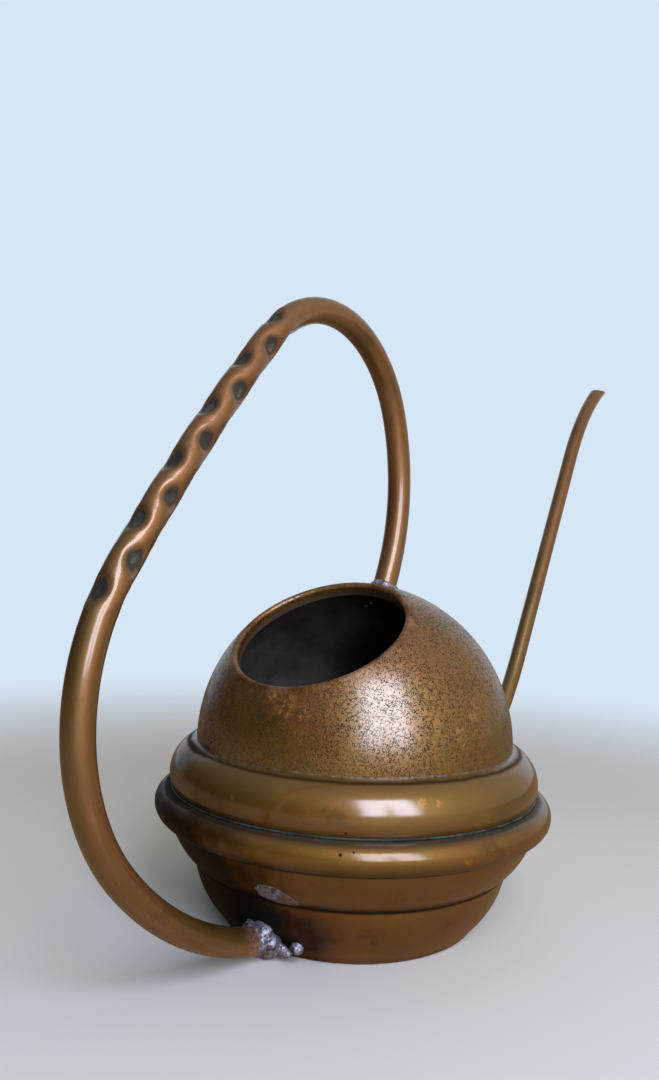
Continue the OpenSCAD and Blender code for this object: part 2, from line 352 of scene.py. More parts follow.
# %% [markdown]
# ## The shells' finish
# The ball was left with a crackled skin: short dark squiggles, closely packed, over brighter copper. The
# beads and tiers below were spun smooth and have faint rings. Each mark that stands out by itself, such
# as a scuff, is a ragged spot at a named place on the body. Creases hold what a cloth can't reach: green
# verdigris in the two upper ones, and black lines in the two lower ones, partly dirt and partly painted
# shade. A band of painted shade lies just above each of the two lower creases. The lower left side is
# painted dark as shade, and so is the copper behind the handle's foot, along with its soot. Two olive
# spots on the right are a painted green reflection, and the lip's pale band is partly wear and partly a
# painted highlight.

# %% The shells' colours
BROWN, OLIVE, GOLD = (0.245, 0.104, 0.022), (0.215, 0.122, 0.015), (0.43, 0.200, 0.040)
DARK, CRACKLE_DARK, BLACK = (0.060, 0.026, 0.011), (0.024, 0.012, 0.008), (0.006, 0.005, 0.005)
# The greenish colour is a painted green reflection; the worn colour is partly wear and partly a painted highlight.
BARE, WORN_AND_SHEEN, REFLECTED_GREEN = (0.62, 0.29, 0.070), (0.46, 0.30, 0.21), (0.135, 0.105, 0.010)
VERDIGRIS, CHALK = (0.055, 0.078, 0.066), (0.26, 0.28, 0.22)
# The second colour here is painted shade, for the bands just above the two lower creases.
SEAM_DARK, SHADE = (0.020, 0.020, 0.015), (0.020, 0.009, 0.005)
# The second colour here is painted shade for the lower left side of the body.
HEAT_STAIN, LEFT_SHADE_DARK = (0.075, 0.034, 0.034), (0.010, 0.006, 0.004)
print("the skin runs from", BROWN, "to", OLIVE)

# %% Where the marks are: angle in degrees, then height, size and softness in millimetres
RUBBED = [(188, 109, 6), (195, 107, 4), (182, 112, 4), (249, 100, 4.4), (256, 105, 3.4), (251, 95, 3.0),
          (259, 111, 3.0), (231, 76, 2.4), (236, 75, 2.2), (178, 72, 1.6), (242, 53, 2.4)]
SCUFFS = [(azimuth, height, across * 0.7, across * 0.5) for azimuth, height, across in RUBBED]  # soft-edged
PITS = [(210.8, 64.0, 0.55, 0.25), (209.8, 57.6, 0.60, 0.25), (213.0, 58.6, 0.45, 0.25)]
# Two olive spots on the right side, painted as a green reflection.
GREEN_REFLECTION = [(262, 70, 13, 8), (276, 96, 16, 10)]
STAIN = [(198, 14, 10, 6)]
# Black round the handle's foot: partly soot from the soldering and partly painted shade behind the tube.
SOOT_AND_SHADE = [(176, 17, 12, 6), (186, 20, 8, 4), (190, 10, 5.5, 2.5)]
# Two large spots of painted shade on the lower left side of the body.
LEFT_SHADE_SPOTS = [(147, 25, 54, 20), (171, 19, 25, 13)]
print(len(SCUFFS), "scuffs and", len(PITS), "pits")


# %% Crackle and creases
def crackle_of(g, place):
    """Short squiggles: the middle values of one noise, broken up by a second and thinned by a third."""
    worms = abs(grain(g, place, 0.46 * MM, 1, 0.5, seed=5.0, bend=0.4) - 0.5).fall(0.02, 0.075)
    broken = worms * grain(g, place, 0.65 * MM, 1, 0.5, seed=6.0).rise(0.42, 0.50)
    return broken * (0.65 + grain(g, place, 9 * MM, 3, 0.6, seed=7.0).rise(0.36, 0.56) * 0.35)


def creases(z, patches, fine):
    """What the creases hold and the painted shade beside the lower two, as layers of colour, with the mask of
    their dirt and painted shade and of all that is dull.
    """
    level = z + (patches - 0.5) * (1.2 * MM)  # so that the lines waver
    under_ball = line(level, BALL_Z - 1.2 * MM, 1.1 * MM)
    seam_line = line(level, SEAM[1] + 0.2 * MM, 0.9 * MM)
    # The black lines in the two lower creases are partly dirt and partly painted shade.
    dirt_and_shade = line(level, BEAD_FOOT[1], 1.7 * MM).at_least(line(level, TIER[1], 1.5 * MM))
    # A band of painted shade just above the bead's foot and just above the tier's crease.
    shaded = line(level, BEAD_FOOT[1] + 1.6 * MM, 3.4 * MM).at_least(line(level, TIER[1] + 1.5 * MM, 3.2 * MM))
    layers = [(under_ball * 0.85, BLACK),
              (line(level, BALL_Z + 0.1 * MM, 0.7 * MM) * fine.rise(0.38, 0.56) * 0.75, CHALK),
              (line(level, SEAM[1], 2.2 * MM) * 0.75, SEAM_DARK),
              (seam_line * fine.rise(0.36, 0.60) * 0.7, VERDIGRIS),
              (shaded * 0.70, SHADE),
              (dirt_and_shade * 0.93, BLACK)]
    return layers, dirt_and_shade, widest_of([dirt_and_shade, seam_line, under_ball])


print("creases at", [round(height / MM, 1) for height in (TIER[1], BEAD_FOOT[1], SEAM[1], BALL_Z)], "mm")


# %% Shell copper
def shell_finish(name, roughness, coat_roughness, coat_ior, crackled):
    """The shells' brown copper. The crackled kind is for the ball, and the smooth kind for the rest."""
    material, g, inputs, place = new_finish(name)
    z = axes_of(g, place)[2]
    clouds = grain(g, place, 22 * MM, 4, 0.6, seed=1.0)
    patches = grain(g, place, 7 * MM, 5, 0.65, seed=2.0)
    fine = grain(g, place, 1.1 * MM, 4, 0.7, seed=3.0)
    rings = grain(g, stretched(g, place, 0.02, 0.02, 1.0), 0.5 * MM, 3, 0.6, seed=4.0)
    upright_streaks = grain(g, stretched(g, place, 1.0, 1.0, 0.12), 2.2 * MM, 3, 0.6, seed=8.0)
    skin = [(patches.rise(0.50, 0.75) * 0.35, GOLD), (patches.fall(0.32, 0.46) * 0.40, DARK)]
    if crackled:
        crackle = crackle_of(g, place)
        skin += [(fine.rise(0.46, 0.64) * 0.50, GOLD), (crackle * 0.90, CRACKLE_DARK)]
    else:
        skin += [(fine.rise(0.60, 0.75) * 0.30, DARK)]

    scuffed = marks(g, place, SCUFFS, patches) * fine.rise(0.44, 0.56)
    # The lip's pale band is partly wear and partly a painted highlight.
    on_lip = past_mouth(g, place).rise(LIP_LEVEL - 0.4 * MM, LIP_LEVEL + 0.6 * MM)
    # Scuffs are wear, and the olive spots are a painted green reflection.
    wear_and_reflection = [(scuffed * 0.7, BARE), (marks(g, place, GREEN_REFLECTION, clouds) * 0.55, REFLECTED_GREEN),
              (on_lip * patches.rise(0.40, 0.62) * 0.5, WORN_AND_SHEEN)]
    in_creases, dirt_and_shade, dull = creases(z, patches, fine)
    pitted = marks(g, place, PITS)
    stain = marks(g, place, STAIN, clouds)
    # Partly soot and partly painted shade round the handle's foot.
    soot_and_shade = marks(g, place, SOOT_AND_SHADE, patches)
    # Painted shade on the lower left side, which also thins the coat there.
    left_shade = marks(g, place, LEFT_SHADE_SPOTS, clouds)
    burnt_and_shade = [(pitted, BLACK), (stain * (0.45 + upright_streaks * 0.6), HEAT_STAIN),
             (left_shade * 0.94, LEFT_SHADE_DARK), (soot_and_shade * 0.95, BLACK)]
    dull = widest_of([dull, soot_and_shade, pitted] + ([crackle] if crackled else []))

    first = g.mix(clouds.rise(0.38, 0.62), BROWN, OLIVE)
    g.feed(inputs["Base Color"], g.layered(first, skin + wear_and_reflection + in_creases + burnt_and_shade))
    g.feed(inputs["Metallic"], 0.92 - dull * 0.6)
    g.feed(inputs["Roughness"], roughness + patches * 0.16 + dull * 0.20 - scuffed * 0.08)
    coat = 0.90 - dull * 0.80 - on_lip * 0.5 - left_shade * 0.75 - z.fall(58 * MM, 61 * MM) * 0.35
    g.feed(inputs["Coat Weight"], coat.at_least(0.0))
    inputs["Specular IOR Level"].default_value = 0.15
    inputs["Coat Roughness"].default_value = coat_roughness
    inputs["Coat IOR"].default_value = coat_ior
    height = fine * 0.25 + patches * 0.35 + rings * 0.08 - pitted - dirt_and_shade * 0.4
    if crackled:
        height = height - crackle * 0.9
    bump(g, inputs, height, 0.5, 0.30 * MM)
    return material


ball_copper = shell_finish("ball_copper", 0.43, 0.26, 2.0, True)
bead_copper = shell_finish("bead_copper", 0.50, 0.17, 1.9, False)
print("shell finishes", ball_copper.name, bead_copper.name)

# %% The dark inside of the can, with a few drips of solder as (x, y, z) and size in millimetres
DRIPS = [(22.6, 10.3, 154.3, 1.0), (36.4, 15.4, 147.3, 1.1), (37.9, 19.3, 145.4, 0.9)]
DRIP_GREY, LIP_BROWN = (0.62, 0.62, 0.60), (0.075, 0.042, 0.020)

shell_inside, g, inputs, place = new_finish("shell_inside")
clouds = grain(g, place, 16 * MM, 5, 0.6, seed=11.0)
specks = grain(g, place, 0.9 * MM, 2, 0.5, seed=12.0).rise(0.74, 0.78)
near_lip = past_mouth(g, place).rise(LIP_LEVEL - LIP_DEPTH - 1.5 * MM, LIP_LEVEL - LIP_DEPTH)
drips = widest_of([specks] + [spot(g, place, (x * MM, y * MM, z * MM), size * MM, 0.3 * MM)
                              for x, y, z, size in DRIPS])
g.feed(inputs["Base Color"], g.layered(g.mix(clouds.rise(0.35, 0.7), (0.050, 0.045, 0.042), (0.150, 0.130, 0.100)),
                                       [(near_lip * 0.9, LIP_BROWN), (drips * 0.8, DRIP_GREY)]))
g.feed(inputs["Roughness"], 0.42 + clouds * 0.3 + near_lip * 0.2)
inputs["Metallic"].default_value = 0.35
bump(g, inputs, clouds, 0.4, 0.6 * MM)
print("inside finish", shell_inside.name)

# %% [markdown]
# ## The tubes' finish
# The tubes were handled more than the body, and are redder. Streaks run along them. A tube keeps its own
# two numbers for every point, how far along it is and how far round, so the streaks can follow its bends.
# Where the grip was pinched, the hollows are painted black as shade, with a dull blue-green bloom at their
# middles.

# %% Tube copper
RED_BROWN, OLIVE_BROWN, PINK_BROWN = (0.285, 0.130, 0.045), (0.225, 0.138, 0.036), (0.44, 0.245, 0.130)
# The second colour here is painted shade for the pinched hollows.
TUBE_DARK, HOLLOW_SHADE, BLOOM = (0.062, 0.030, 0.016), (0.016, 0.020, 0.019), (0.115, 0.130, 0.090)
RAW_COPPER, RAW_PINK, CHIP = (0.46, 0.18, 0.09), (0.66, 0.42, 0.34), (0.50, 0.38, 0.26)

tube_copper, g, inputs, place = new_finish("tube_copper")
run, turn, dent = (g.add("ShaderNodeAttribute", {"attribute_name": name}, out="Fac")
                   for name in ("run", "turn", "dent"))


def along_tube(stretch, size, detail, rough, seed):
    """Noise drawn out along the tube, and wrapped round it."""
    skin = g.combine(run * stretch, turn.call("COSINE") * (6 * MM), turn.call("SINE") * (6 * MM))
    return grain(g, skin, size, detail, rough, seed)


streaks = along_tube(0.12, 3 * MM, 4, 0.6, 21.0)
long_streaks = along_tube(0.05, 5 * MM, 3, 0.5, 22.0)
blotches = grain(g, place, 9 * MM, 4, 0.6, seed=23.0)
fine = grain(g, place, 0.9 * MM, 4, 0.7, seed=24.0)
chips = grain(g, place, 1.6 * MM, 2, 0.5, seed=25.0).rise(0.74, 0.78)
ragged = grain(g, place, 1.8 * MM, 3, 0.6, seed=26.0)
# The pinched hollows are painted near black as shade, and lose metal and coat there.
hollow = (dent + (ragged - 0.5) * 0.7).rise(0.10, 0.62)
bloom = (dent + (ragged - 0.5) * 1.6).rise(0.62, 1.05) * fine.rise(0.36, 0.58)
bloom = bloom * grain(g, place, 11 * MM, 1, 0.5, seed=27.0).rise(0.42, 0.58)
raw_end = (run + (streaks - 0.5) * (16 * MM)).fall(24 * MM, 32 * MM)
g.feed(inputs["Base Color"], g.layered(g.mix(long_streaks.rise(0.38, 0.62), RED_BROWN, OLIVE_BROWN), [
    (streaks.rise(0.50, 0.72) * 0.55, PINK_BROWN), (blotches.fall(0.34, 0.48) * 0.35, TUBE_DARK),
    (fine.rise(0.58, 0.72) * 0.30, TUBE_DARK), (hollow * 0.96, HOLLOW_SHADE), (bloom * 0.75, BLOOM),
    (raw_end * 0.9, g.mix(fine.rise(0.42, 0.58), RAW_COPPER, RAW_PINK)), (chips * 0.6, CHIP)]))
g.feed(inputs["Metallic"], 0.92 - hollow * 0.7)
g.feed(inputs["Roughness"], 0.44 + streaks * 0.14 + fine * 0.08 + hollow * 0.15)
g.feed(inputs["Coat Weight"], 0.80 - hollow * 0.60)
inputs["Coat Roughness"].default_value = 0.18
inputs["Coat IOR"].default_value = 1.75
bump(g, inputs, fine * 0.35 + streaks * 0.5 + blotches * 0.4, 0.5, 0.30 * MM)
print("tube finish", tube_copper.name)

# %% [markdown]
# ## The solder's finishes
# Solder is a soft grey metal. By hand it is never clean: flux burns to black specks, and copper shows
# through it in pink and green. The ring in the seam has stood in water, so it is nearly all verdigris,
# with a few bright specks where something rubbed it. Each layer is a noise of its own size.

# %% Solder, which is grey, with soot, pink and green bloom
SOLDER_DARK, SOLDER_LIGHT, FLUX = (0.15, 0.155, 0.190), (0.43, 0.44, 0.52), (0.022, 0.020, 0.020)
PINK_BLOOM, GREEN_BLOOM, SOOTY = (0.34, 0.19, 0.14), (0.16, 0.24, 0.20), (0.018, 0.017, 0.019)
TAIL_DARK, TAIL_PINK = (0.150, 0.070, 0.060), (0.36, 0.22, 0.19)

solder, g, inputs, place = new_finish("solder")
lumps = grain(g, place, 3 * MM, 4, 0.6, seed=31.0)
fine = grain(g, place, 0.7 * MM, 4, 0.7, seed=32.0)
sooty = grain(g, place, 2.4 * MM, 3, 0.6, seed=35.0).rise(0.53, 0.61)
scar_tail = spot(g, place, on_body(195.5, 30.8), 5.5 * MM, 3.0 * MM, lumps)
g.feed(inputs["Base Color"], g.layered(g.mix(lumps.rise(0.36, 0.56), SOLDER_DARK, SOLDER_LIGHT), [
    (fine.rise(0.50, 0.60) * 0.80, FLUX),
    (grain(g, place, 5 * MM, 3, 0.5, seed=33.0).rise(0.58, 0.68) * 0.5, PINK_BLOOM),
    (grain(g, place, 4 * MM, 3, 0.5, seed=34.0).rise(0.57, 0.66) * 0.7, GREEN_BLOOM),
    (sooty * 0.85, SOOTY), (scar_tail * 0.8, g.mix(fine.rise(0.42, 0.58), TAIL_DARK, TAIL_PINK))]))
g.feed(inputs["Metallic"], 0.55 + lumps * 0.3 - sooty * 0.4)
g.feed(inputs["Roughness"], 0.42 + fine * 0.25)
bump(g, inputs, lumps * 0.6 + fine * 0.6, 0.8, 0.5 * MM)
print("solder finish", solder.name)

# %% Verdigris on the seam's solder
GREEN_BLACK, GREEN_GREY = (0.016, 0.024, 0.022), (0.055, 0.085, 0.072)
BRIGHT, GAP_BLACK = (0.50, 0.52, 0.46), (0.012, 0.012, 0.012)

seam_green, g, inputs, place = new_finish("seam_green")
fine = grain(g, place, 0.8 * MM, 4, 0.7, seed=41.0)
patches = grain(g, place, 5 * MM, 4, 0.6, seed=42.0)
g.feed(inputs["Base Color"], g.layered(g.mix(patches.rise(0.38, 0.62), GREEN_BLACK, GREEN_GREY), [
    (fine.rise(0.62, 0.70) * 0.8, BRIGHT), (fine.fall(0.36, 0.46) * 0.8, GAP_BLACK)]))
g.feed(inputs["Metallic"], fine.rise(0.58, 0.66) * 0.7)
g.feed(inputs["Roughness"], 0.62 - fine.rise(0.60, 0.68) * 0.3)
bump(g, inputs, fine + patches, 0.8, 0.5 * MM)
print("seam finish", seam_green.name)

# %% [markdown]
# ## Helpers for pieces
# Every piece ends as a plain mesh whose object sits at the origin. Its faces are turned outwards, its
# doubles are merged, and edges sharper than a bead's crease stay sharp under smooth shading.

# %% Making and settling a mesh
SHARP, DOUBLES = math.radians(38), 1e-6


def settle(mesh):
    """Merge doubles, turn the faces outwards and shade smooth."""
    work = bmesh.new()
    work.from_mesh(mesh)
    bmesh.ops.remove_doubles(work, verts=work.verts, dist=DOUBLES)
    bmesh.ops.recalc_face_normals(work, faces=work.faces)
    work.to_mesh(mesh)
    work.free()
    mesh.shade_smooth()
    mesh.set_sharp_from_angle(angle=SHARP)
    mesh.update()


def place_mesh(name, mesh):
    """An object at the origin that holds a mesh."""
    piece = bpy.data.objects.new(name, mesh)
    bpy.context.scene.collection.objects.link(piece)
    return piece


def mesh_from(name, points, faces):
    """A mesh from rows of points and lists of corners."""
    mesh = bpy.data.meshes.new(name)
    mesh.from_pydata([tuple(p) for p in points], [], [tuple(int(i) for i in f) for f in faces])
    return mesh


print("edges over", round(math.degrees(SHARP)), "degrees stay sharp")


# %% Reading a mesh's points, and finishing a piece
def coordinates(mesh):
    """The mesh's points as an array of rows."""
    flat = np.empty(3 * len(mesh.vertices), dtype=np.float32)
    mesh.vertices.foreach_get("co", flat)
    return flat.reshape(-1, 3).astype(float)


def set_coordinates(mesh, points):
    """Move the mesh's points to an array of rows."""
    mesh.vertices.foreach_set("co", np.ascontiguousarray(points, dtype=np.float32).ravel())
    mesh.update()


def numbers(mesh, name):
    """One of the mesh's own named numbers, one for each point."""
    values = np.empty(len(mesh.vertices), dtype=np.float32)
    mesh.attributes[name].data.foreach_get("value", values)
    return values.astype(float)


def finish_piece(piece, node, slot_name):
    """The piece rides on the can and stands in for its node. The slot's name is not used."""
    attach(piece, "root")
    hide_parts(node)
    print(node, len(piece.data.polygons), "faces")


def wrapped_grid(columns, rows):
    """Faces of a sheet of columns x rows points that is closed both ways, as round a ring's section."""
    c, r = np.meshgrid(np.arange(columns), np.arange(rows), indexing="ij")
    d, s = (c + 1) % columns, (r + 1) % rows
    return np.stack([c * rows + r, d * rows + r, d * rows + s, c * rows + s], axis=-1).reshape(-1, 4)


print("helpers", coordinates.__name__, finish_piece.__name__)


# %% [markdown]
# ## Trees of nodes that make meshes
# Both trees start from a flat grid, read each point's place in the grid from its index, and then move it
# to where it belongs. For the lower shell, a row of the grid is a turn round the Z axis, and the profile
# is handed in as a string of points. A profile that ends where it began makes a closed wall.

# %% A tree that turns a profile round the Z axis
def new_tree(name, inputs):
    """A Geometry Nodes tree with named inputs, its graph and the wires that come from those inputs."""
    tree = bpy.data.node_groups.new(name, "GeometryNodeTree")
    tree.interface.new_socket(name="Geometry", in_out="INPUT", socket_type="NodeSocketGeometry")
    tree.interface.new_socket(name="Geometry", in_out="OUTPUT", socket_type="NodeSocketGeometry")
    for label, kind in inputs:
        tree.interface.new_socket(name=label, in_out="INPUT", socket_type="NodeSocket" + kind)
    graph = Graph(tree)
    enter = tree.nodes.new("NodeGroupInput")
    return tree, graph, {s.name: Wire(graph, s) for s in enter.outputs if s.name}


def end_tree(graph, geometry, material):
    """Merge the grid's edges where they meet, then Realize Instances, Set Material and the output."""
    joined = graph.add("GeometryNodeMergeByDistance", None, {"Geometry": geometry, "Distance": DOUBLES})
    real = graph.add("GeometryNodeRealizeInstances", None, {"Geometry": joined})
    done = graph.add("GeometryNodeSetMaterial", None, {"Geometry": real, "Material": material})
    graph.finish_with(done)


def grow(name, source, tree, settings):
    """Run a tree on a source and return the result as a plain mesh."""
    holder = bpy.data.objects.new(name, source)
    bpy.context.scene.collection.objects.link(holder)
    modifier = holder.modifiers.new(name, "NODES")
    modifier.node_group = tree
    sockets = {s.name: s.identifier for s in tree.interface.items_tree if s.in_out == "INPUT"}
    for label, value in settings.items():
        modifier[sockets[label]] = value
    ready = holder.evaluated_get(bpy.context.evaluated_depsgraph_get())
    mesh = bpy.data.meshes.new_from_object(ready)
    bpy.data.objects.remove(holder)
    mesh.name = name
    return mesh


def lathe_tree():
    """A tree that turns a string of points round the Z axis."""
    tree, g, given = new_tree("turn a profile", [("Turns", "Int"), ("Rows", "Int"), ("Finish", "Material")])
    columns = given["Turns"] + 1
    grid = g.add("GeometryNodeMeshGrid", None, {"Vertices X": columns, "Vertices Y": given["Rows"]})
    index = g.add("GeometryNodeInputIndex")
    column = (index / given["Rows"]).call("FLOOR")
    row = index - column * given["Rows"]
    profile = g.add("GeometryNodeSampleIndex", {"data_type": "FLOAT_VECTOR"},
                    {"Geometry": given["Geometry"], "Value": g.add("GeometryNodeInputPosition"), "Index": row})
    reach, _, height = axes_of(g, profile)
    angle = column / given["Turns"] * (2 * math.pi)
    moved = g.add("GeometryNodeSetPosition", None, {
        "Geometry": grid, "Position": g.combine(angle.call("COSINE") * reach, angle.call("SINE") * reach, height)})
    end_tree(g, moved, given["Finish"])
    return tree


turn_profile = lathe_tree()
print("tree", turn_profile.name, len(turn_profile.nodes), "nodes")

# %% [markdown]
# ## The lower shell
# One spun sheet makes the flat bottom, the two tiers and the lower bead. A lathe's work is a profile and
# an axis, so its profile is written once, up the outside and down the inside, and the tree turns it.

# %% Lower shell
WIDEST = cad_box[1][1] - 0.02 * MM  # so that the round shell stays inside the frame's box


def pairs(*points):
    """(radius, height) pairs as an array."""
    return np.array(points, dtype=float)


outside = lower_side()
inside = [p[::-1] for p in reversed(lower_side(SHEET))]
bottom = pairs((0, 0), (15 * MM, 0), (30 * MM, 0), (45 * MM, 0), (55 * MM, 0))
floor_inside = pairs((50 * MM, SHEET), (34 * MM, SHEET), (17 * MM, SHEET), (0, SHEET))
rim = pairs((SEAM[0] - SHEET, SEAM[1]))
profile = np.vstack([bottom, *outside, rim, *inside, floor_inside])
profile[:, 0] = np.minimum(profile[:, 0], WIDEST)
string = mesh_from("lower_profile", [(r, 0, h) for r, h in profile], [])
lower_mesh = grow("lower_shell_copper", string, turn_profile,
                  {"Turns": ROUND, "Rows": len(profile), "Finish": bead_copper})
lower_mesh.materials.append(shell_inside)
settle(lower_mesh)


def darken_inside(mesh, is_inside):
    """Give the dark finish to the faces that the test puts inside."""
    for face in mesh.polygons:
        if is_inside(face):
            face.material_index = 1


def on_inner_side(face):
    """True on the inner side of the lower shell."""
    centre = face.center
    outwards = math.hypot(centre.x, centre.y) - np.interp(centre.z, side_z, side_r)
    return outwards < -0.5 * SHEET if centre.z > 1.5 * SHEET else centre.z > 0.5 * SHEET


darken_inside(lower_mesh, on_inner_side)
lower_shell = place_mesh("lower_shell_copper", lower_mesh)
finish_piece(lower_shell, "lower_shell", "copper_shell")

# %% [markdown]
# ## The upper shell
# The ball's mouth leans, so turning a profile would not end at its edge. Every line up the side instead
# runs from the level crease below the ball to its own point on the leaning mouth, along the shortest way
# over the ball. The vertical axis passes inside the mouth, so no two lines meet, and the whole shell is
# one sheet of quads with no pole: up the outside, round the rolled lip, and down the inside.

# %% The lines of the upper shell
LIP_CENTRE_R = BALL_R - LIP_ROUND
LIP_ANGLE = math.asin(MOUTH_R / LIP_CENTRE_R)
mouth_axis = np.array(MOUTH_AXIS)
mouth_side = np.array([math.cos(MOUTH_TILT), 0, math.sin(MOUTH_TILT)])
across = np.array([0.0, 1.0, 0.0])
ball_centre = np.array([0, 0, BALL_Z])


def over_ball(start, end, radius, steps=54):
    """Points on the ball from one direction to another, without the two ends."""
    angle = math.acos(float(np.dot(start, end)))
    share = np.linspace(0, 1, steps + 2)[1:-1, None]
    way = (np.sin((1 - share) * angle) * start + np.sin(share * angle) * end) / math.sin(angle)
    return ball_centre + radius * way


def lip_section():
    """The rolled edge in the mouth's own axes, as (radius from the mouth's axis, height along it)."""
    centre = LIP_CENTRE_R * np.array([math.sin(LIP_ANGLE), math.cos(LIP_ANGLE)])
    turn = np.linspace(LIP_ANGLE, -math.pi / 2, 20)
    roll = np.stack([np.sin(turn), np.cos(turn)], axis=1)
    down = pairs((-LIP_ROUND, -0.5 * LIP_DEPTH), (-LIP_ROUND, -LIP_DEPTH),
                 (SHEET - LIP_ROUND, -LIP_DEPTH), (SHEET - LIP_ROUND, -0.5 * LIP_DEPTH))
    return np.vstack([centre + LIP_ROUND * roll, centre + down, centre + (LIP_ROUND - SHEET) * roll[::-1]])


def upright(profile, azimuth):
    """A profile of (radius, height) pairs stood up at an angle round the Z axis."""
    return np.stack(round_axis(azimuth, profile[:, 0], profile[:, 1]), axis=1)


def wall_line(azimuth):
    """One closed line round the upper shell's wall: up the outside and down the inside."""
    level = np.array([math.cos(azimuth), math.sin(azimuth), 0])
    spoke = math.cos(azimuth) * mouth_side + math.sin(azimuth) * across
    edge = math.sin(LIP_ANGLE) * spoke + math.cos(LIP_ANGLE) * mouth_axis
    lip = lip_section()
    lip = ball_centre + lip[:, :1] * spoke + lip[:, 1:] * mouth_axis
    skirt = pairs((SKIRT_R, SEAM[1] - SKIRT_LAP), (SKIRT_R, SEAM[1]))
    out_bead = arc(SEAM, (BALL_R, BALL_Z), UPPER_BULGE, 0, 32)
    in_bead = arc(SEAM, (BALL_R, BALL_Z), UPPER_BULGE, SHEET, 32)[::-1][:-1]
    in_skirt = pairs((SKIRT_R - SHEET, SEAM[1] + SHEET), (SKIRT_R - SHEET, SEAM[1] - SKIRT_LAP))
    return np.vstack([upright(np.vstack([skirt, out_bead]), azimuth), over_ball(level, edge, BALL_R), lip,
                      over_ball(level, edge, BALL_R - SHEET)[::-1],
                      upright(np.vstack([in_bead, in_skirt]), azimuth)])


lines = [wall_line(2 * math.pi * k / ROUND) for k in range(ROUND)]
print(len(lines), "lines of", len(lines[0]), "points")

# %% Upper shell
upper_mesh = mesh_from("upper_shell_copper", np.vstack(lines), wrapped_grid(ROUND, len(lines[0])))
for finish in (bead_copper, shell_inside, ball_copper):
    upper_mesh.materials.append(finish)
settle(upper_mesh)


def looks_inwards(face):
    """True where a face looks towards the middle of the ball, apart from the rolled lip."""
    centre = face.center
    to_centre = Vector(ball_centre) - centre
    if centre.z < BALL_Z:
        to_centre.z = 0
    along_axis = (centre - Vector(ball_centre)).dot(Vector(mouth_axis))
    on_lip = along_axis > LIP_CENTRE_R * math.cos(LIP_ANGLE) - 0.3 * LIP_DEPTH
    return face.normal.dot(to_centre.normalized()) > 0.3 and not on_lip


darken_inside(upper_mesh, looks_inwards)
for face in upper_mesh.polygons:
    if face.material_index == 0 and face.center.z > BALL_Z:
        face.material_index = 2
upper_shell = place_mesh("upper_shell_copper", upper_mesh)
finish_piece(upper_shell, "upper_shell", "copper_shell")

# %% [markdown]
# ## The bent tubes
# A maker describes a bent tube as a row of bends: this radius, that many degrees. Worked out in order,
# they give the tube's middle line. A tree then lays a sheet of quads along the line, on the outside on
# the way out and in the bore on the way back, so that the tube has a real wall. The handle's grip was
# pinched with pliers, and turned a quarter from one pinch to the next, which leaves a wavy ridge between
# the hollows. The tree makes those too: it finds the nearest pinch and moves each point in.

# %% Middle lines of the tubes
HANDLE_R, SPOUT_R, TUBE_WALL = 5.97 * MM, 4.98 * MM, 1.0 * MM  # a hair inside the frame's tubes
FOOT_START = (56.3 * MM, 7.0 * MM)
# Each bend is (radius in millimetres, degrees), and a straight stretch is (0, length in millimetres).
HANDLE_BENDS = [(80.2, 15), (149.8, 33.6), (89.9, 76.2), (900, 8), (63.4, 113), (102.3, 47.5)]
SPOUT_START = (60.0 * MM, 16.0 * MM)
SPOUT_ANGLE = 5
SPOUT_BENDS = [(190.6, 53.3), (0, 172.2), (-176, 28.4)]
SUNK = 0.4 * MM  # how deep a tube's end, a lump of solder or the scar's back goes into the copper


def follow(start, angle, bends, step=1.0 * MM):
    """Walk along tangent bends: rows of (out, up, heading). A bend to the left has a positive radius."""
    rows = [(start[0], start[1], math.radians(angle))]
    for radius, amount in bends:
        out, up, heading = rows[-1]
        length = amount * MM if radius == 0 else abs(radius) * MM * math.radians(amount)
        count = max(2, round(length / step))
        for k in range(1, count + 1):
            if radius == 0:
                rows.append((out + length * k / count * math.cos(heading),
                             up + length * k / count * math.sin(heading), heading))
            else:
                now = heading + math.copysign(math.radians(amount), radius) * k / count
                r = radius * MM
                rows.append((out + r * (math.sin(now) - math.sin(heading)),
                             up + r * (math.cos(heading) - math.cos(now)), now))
    return rows


def distance_to_ball(point, way, radius):
    """How far along a way a point meets the ball, for a point outside it that heads towards it."""
    away = point - ball_centre
    b = away @ way
    return -b - math.sqrt(max(b * b - away @ away + radius * radius, 0.0))


def middle_line(rows, side):
    """Rows of (out, up, heading) as points in the frame. The side is 1 for the spout and -1 for the handle."""
    return np.array([(side * out, 0.0, height) for out, height, _ in rows])


handle_rows = follow(FOOT_START, 0, HANDLE_BENDS)
end_heading = handle_rows[-1][2]
handle_end_way = np.array([-math.cos(end_heading), 0, math.sin(end_heading)])
end_run = distance_to_ball(middle_line(handle_rows[-1:], -1)[0], handle_end_way, BALL_R)
handle_rows = follow(FOOT_START, 0, HANDLE_BENDS + [(0, end_run / MM)])
spout_rows = follow(SPOUT_START, SPOUT_ANGLE, SPOUT_BENDS)
TIP_Z = spout_rows[-1][1]
GRIP_START = sum(r * MM * math.radians(a) for r, a in HANDLE_BENDS[:3])
print("the tip is at", round(TIP_Z / MM, 1), "mm and the grip starts", round(GRIP_START / MM, 1), "mm along")

# %% The pinches in the grip
PINCHES = {"First": GRIP_START - 10.6 * MM, "Step": 14.3 * MM, "Count": 11, "Depth": 2.3 * MM}
NO_PINCHES = {"First": 0.0, "Step": 1.0, "Count": 0, "Depth": 0.0}
PINCH_LONG, PINCH_WIDE, RIDGE_LONG = 6.6 * MM, 6.2 * MM, 7.5 * MM


